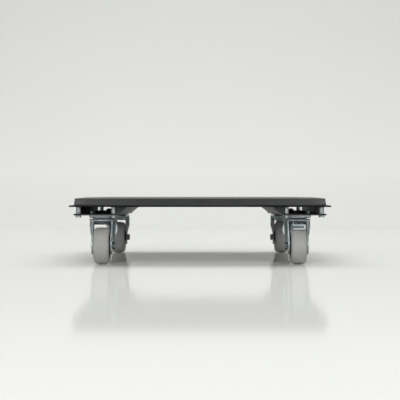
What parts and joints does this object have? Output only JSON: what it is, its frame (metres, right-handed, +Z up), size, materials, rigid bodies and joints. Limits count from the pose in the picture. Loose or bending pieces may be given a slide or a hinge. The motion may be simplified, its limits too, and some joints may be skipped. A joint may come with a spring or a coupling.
{
  "type": "plant pot caddy",
  "caption": "Square anthracite plant pot caddy: shallow steel deck on two rails with four 75 mm swivel casters, two of them braked.",
  "frame": {"origin": "on the floor under the middle of the deck", "axes": "+X to the right as seen from the front, +Y to the back, +Z up; the wheels trail outwards along Y at rest"},
  "size_m": [0.525, 0.525, 0.1365],
  "materials": {
    "pan_paint": "satin",
    "rail_paint": "satin",
    "spacer_steel": "satin",
    "fastener_steel": "satin",
    "zinc_steel": "satin",
    "ball_steel": "polished",
    "core_plastic": "matte",
    "tread_rubber": "matte"
  },
  "bodies": {
    "deck": {"deck_pan": "pan_paint", "base_plate": "pan_paint", "rail_left": "rail_paint", "rail_right": "rail_paint", "rail_spacers": "spacer_steel", "rail_bolts": "fastener_steel", "rail_nuts": "fastener_steel", "caster_screws": "fastener_steel", "caster_nuts": "fastener_steel", "top_plate_front_left": "zinc_steel", "top_plate_front_right": "zinc_steel", "top_plate_rear_left": "zinc_steel", "top_plate_rear_right": "zinc_steel", "king_pin_front_left": "zinc_steel", "king_pin_front_right": "zinc_steel", "king_pin_rear_left": "zinc_steel", "king_pin_rear_right": "zinc_steel", "race_cup_front_left": "zinc_steel", "race_cup_front_right": "zinc_steel", "race_cup_rear_left": "zinc_steel", "race_cup_rear_right": "zinc_steel"},
    "swivel_front_left": {"balls_front_left": "ball_steel", "fork_front_left": "zinc_steel", "axle_bolt_front_left": "zinc_steel", "axle_nut_front_left": "zinc_steel", "axle_sleeve_front_left": "zinc_steel"},
    "wheel_front_left": {"wheel_core_front_left": "core_plastic", "tyre_front_left": "tread_rubber"},
    "swivel_front_right": {"balls_front_right": "ball_steel", "fork_front_right": "zinc_steel", "axle_bolt_front_right": "zinc_steel", "axle_nut_front_right": "zinc_steel", "axle_sleeve_front_right": "zinc_steel", "brake_pin_front_right": "zinc_steel"},
    "wheel_front_right": {"wheel_core_front_right": "core_plastic", "tyre_front_right": "tread_rubber"},
    "swivel_rear_left": {"balls_rear_left": "ball_steel", "fork_rear_left": "zinc_steel", "axle_bolt_rear_left": "zinc_steel", "axle_nut_rear_left": "zinc_steel", "axle_sleeve_rear_left": "zinc_steel"},
    "wheel_rear_left": {"wheel_core_rear_left": "core_plastic", "tyre_rear_left": "tread_rubber"},
    "swivel_rear_right": {"balls_rear_right": "ball_steel", "fork_rear_right": "zinc_steel", "axle_bolt_rear_right": "zinc_steel", "axle_nut_rear_right": "zinc_steel", "axle_sleeve_rear_right": "zinc_steel", "brake_pin_rear_right": "zinc_steel"},
    "wheel_rear_right": {"wheel_core_rear_right": "core_plastic", "tyre_rear_right": "tread_rubber"},
    "brake_front_right": {"brake_lever_front_right": "zinc_steel"},
    "brake_rear_right": {"brake_lever_rear_right": "zinc_steel"}
  },
  "joints": [
    {"name": "swivel_turn_front_left", "type": "hinge", "parent": "deck", "child": "swivel_front_left", "pos_m": [-0.2, -0.1905, 0.09], "axis": [0, 0, 1], "continuous": true},
    {"name": "swivel_turn_front_right", "type": "hinge", "parent": "deck", "child": "swivel_front_right", "pos_m": [0.2, -0.1905, 0.09], "axis": [0, 0, 1], "continuous": true},
    {"name": "swivel_turn_rear_left", "type": "hinge", "parent": "deck", "child": "swivel_rear_left", "pos_m": [-0.2, 0.1905, 0.09], "axis": [0, 0, 1], "continuous": true},
    {"name": "swivel_turn_rear_right", "type": "hinge", "parent": "deck", "child": "swivel_rear_right", "pos_m": [0.2, 0.1905, 0.09], "axis": [0, 0, 1], "continuous": true},
    {"name": "wheel_spin_front_left", "type": "hinge", "parent": "swivel_front_left", "child": "wheel_front_left", "pos_m": [-0.2, -0.2165, 0.0375], "axis": [1, 0, 0], "continuous": true},
    {"name": "wheel_spin_front_right", "type": "hinge", "parent": "swivel_front_right", "child": "wheel_front_right", "pos_m": [0.2, -0.2165, 0.0375], "axis": [1, 0, 0], "continuous": true},
    {"name": "wheel_spin_rear_left", "type": "hinge", "parent": "swivel_rear_left", "child": "wheel_rear_left", "pos_m": [-0.2, 0.2165, 0.0375], "axis": [1, 0, 0], "continuous": true},
    {"name": "wheel_spin_rear_right", "type": "hinge", "parent": "swivel_rear_right", "child": "wheel_rear_right", "pos_m": [0.2, 0.2165, 0.0375], "axis": [1, 0, 0], "continuous": true},
    {"name": "brake_press_front_right", "type": "hinge", "parent": "swivel_front_right", "child": "brake_front_right", "pos_m": [0.2, -0.2105, 0.0775], "axis": [1, 0, 0], "range_deg": [-12, 1.5]},
    {"name": "brake_press_rear_right", "type": "hinge", "parent": "swivel_rear_right", "child": "brake_rear_right", "pos_m": [0.2, 0.2105, 0.0775], "axis": [-1, 0, 0], "range_deg": [-12, 1.5]}
  ]
}
